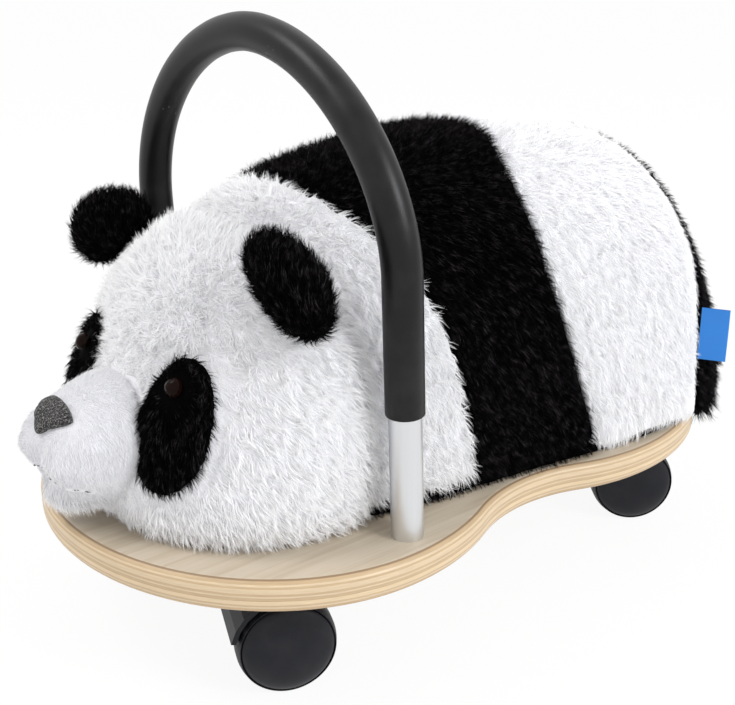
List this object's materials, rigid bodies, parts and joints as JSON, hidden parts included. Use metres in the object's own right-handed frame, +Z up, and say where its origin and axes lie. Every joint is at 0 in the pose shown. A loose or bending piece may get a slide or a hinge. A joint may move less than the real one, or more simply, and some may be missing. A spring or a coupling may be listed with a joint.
{
  "type": "plush ride-on animal",
  "caption": "Soft panda body and head on a waisted plywood board, with a bent tube handle and swivelling twin-wheel casters.",
  "frame": {"origin": "on the floor, below the middle of the whole toy", "axes": "+Z up, the animal looks along -Y, +X is its left side"},
  "size_m": [0.2602, 0.4355, 0.3221],
  "materials": {
    "birch_plywood": "clear-lacquered birch plywood",
    "satin_steel": "satin zinc or chrome finish",
    "foam_sleeve": "dark navy-grey foam rubber",
    "caster_plastic": "dark blue-grey moulded plastic, satin",
    "white_plush": "long white plush",
    "muzzle_plush": "short white plush",
    "black_plush": "long black plush",
    "nose_knit": "dark grey knitted cloth",
    "base_cloth": "dark woven cloth over a panel",
    "eye_plastic": "very dark brown, glossy",
    "blue_ribbon": "plain woven blue ribbon",
    "core_foam": "firm upholstery foam"
  },
  "bodies": {
    "toy": {"base_board": "birch_plywood", "handle_tube": "satin_steel", "handle_insert_left": "satin_steel", "handle_insert_right": "satin_steel", "handle_bolt_left": "satin_steel", "handle_bolt_right": "satin_steel", "body_screw_front_left": "satin_steel", "body_screw_front_right": "satin_steel", "body_screw_rear_left": "satin_steel", "body_screw_rear_right": "satin_steel", "front_left_caster_plate": "satin_steel", "front_left_caster_kingpin": "satin_steel", "front_right_caster_plate": "satin_steel", "front_right_caster_kingpin": "satin_steel", "rear_left_caster_plate": "satin_steel", "rear_left_caster_kingpin": "satin_steel", "rear_right_caster_plate": "satin_steel", "rear_right_caster_kingpin": "satin_steel", "handle_grip": "foam_sleeve", "head": "white_plush", "neck": "white_plush", "back": "white_plush", "muzzle": "muzzle_plush", "ear_left": "black_plush", "ear_right": "black_plush", "eye_patch_left": "black_plush", "eye_patch_right": "black_plush", "shoulder_band": "black_plush", "rear_panel": "black_plush", "nose": "nose_knit", "mouth_stitching": "nose_knit", "body_base_panel": "base_cloth", "eye_left": "eye_plastic", "eye_right": "eye_plastic", "side_tag": "blue_ribbon", "body_core": "core_foam"},
    "front_left_caster": {"front_left_caster_housing": "caster_plastic", "front_left_caster_axle": "satin_steel"},
    "front_left_outer_wheel_body": {"front_left_outer_wheel": "caster_plastic", "front_left_outer_wheel_cap": "caster_plastic"},
    "front_left_inner_wheel_body": {"front_left_inner_wheel": "caster_plastic", "front_left_inner_wheel_cap": "caster_plastic"},
    "front_right_caster": {"front_right_caster_housing": "caster_plastic", "front_right_caster_axle": "satin_steel"},
    "front_right_outer_wheel_body": {"front_right_outer_wheel": "caster_plastic", "front_right_outer_wheel_cap": "caster_plastic"},
    "front_right_inner_wheel_body": {"front_right_inner_wheel": "caster_plastic", "front_right_inner_wheel_cap": "caster_plastic"},
    "rear_left_caster": {"rear_left_caster_housing": "caster_plastic", "rear_left_caster_axle": "satin_steel"},
    "rear_left_outer_wheel_body": {"rear_left_outer_wheel": "caster_plastic", "rear_left_outer_wheel_cap": "caster_plastic"},
    "rear_left_inner_wheel_body": {"rear_left_inner_wheel": "caster_plastic", "rear_left_inner_wheel_cap": "caster_plastic"},
    "rear_right_caster": {"rear_right_caster_housing": "caster_plastic", "rear_right_caster_axle": "satin_steel"},
    "rear_right_outer_wheel_body": {"rear_right_outer_wheel": "caster_plastic", "rear_right_outer_wheel_cap": "caster_plastic"},
    "rear_right_inner_wheel_body": {"rear_right_inner_wheel": "caster_plastic", "rear_right_inner_wheel_cap": "caster_plastic"}
  },
  "joints": [
    {"name": "front_left_swivel", "type": "hinge", "parent": "toy", "child": "front_left_caster", "pos_m": [0.059, -0.13937, 0.066], "axis": [0, 0, 1], "continuous": true},
    {"name": "front_left_outer_spin", "type": "hinge", "parent": "front_left_caster", "child": "front_left_outer_wheel_body", "pos_m": [0.06564, -0.12372, 0.02528], "axis": [0.9205, -0.3907, 0], "continuous": true},
    {"name": "front_left_inner_spin", "type": "hinge", "parent": "front_left_caster", "child": "front_left_inner_wheel_body", "pos_m": [0.06564, -0.12372, 0.02528], "axis": [0.9205, -0.3907, 0], "continuous": true},
    {"name": "front_right_swivel", "type": "hinge", "parent": "toy", "child": "front_right_caster", "pos_m": [-0.059, -0.13937, 0.066], "axis": [0, 0, 1], "continuous": true},
    {"name": "front_right_outer_spin", "type": "hinge", "parent": "front_right_caster", "child": "front_right_outer_wheel_body", "pos_m": [-0.06311, -0.12287, 0.02528], "axis": [0.9703, 0.2419, 0], "continuous": true},
    {"name": "front_right_inner_spin", "type": "hinge", "parent": "front_right_caster", "child": "front_right_inner_wheel_body", "pos_m": [-0.06311, -0.12287, 0.02528], "axis": [0.9703, 0.2419, 0], "continuous": true},
    {"name": "rear_left_swivel", "type": "hinge", "parent": "toy", "child": "rear_left_caster", "pos_m": [0.049, 0.14003, 0.066], "axis": [0, 0, 1], "continuous": true},
    {"name": "rear_left_outer_spin", "type": "hinge", "parent": "rear_left_caster", "child": "rear_left_outer_wheel_body", "pos_m": [0.05923, 0.15361, 0.02528], "axis": [0.7986, -0.6018, 0], "continuous": true},
    {"name": "rear_left_inner_spin", "type": "hinge", "parent": "rear_left_caster", "child": "rear_left_inner_wheel_body", "pos_m": [0.05923, 0.15361, 0.02528], "axis": [0.7986, -0.6018, 0], "continuous": true},
    {"name": "rear_right_swivel", "type": "hinge", "parent": "toy", "child": "rear_right_caster", "pos_m": [-0.049, 0.14003, 0.066], "axis": [0, 0, 1], "continuous": true},
    {"name": "rear_right_outer_spin", "type": "hinge", "parent": "rear_right_caster", "child": "rear_right_outer_wheel_body", "pos_m": [-0.04319, 0.15601, 0.02528], "axis": [0.9397, -0.342, 0], "continuous": true},
    {"name": "rear_right_inner_spin", "type": "hinge", "parent": "rear_right_caster", "child": "rear_right_inner_wheel_body", "pos_m": [-0.04319, 0.15601, 0.02528], "axis": [0.9397, -0.342, 0], "continuous": true}
  ]
}
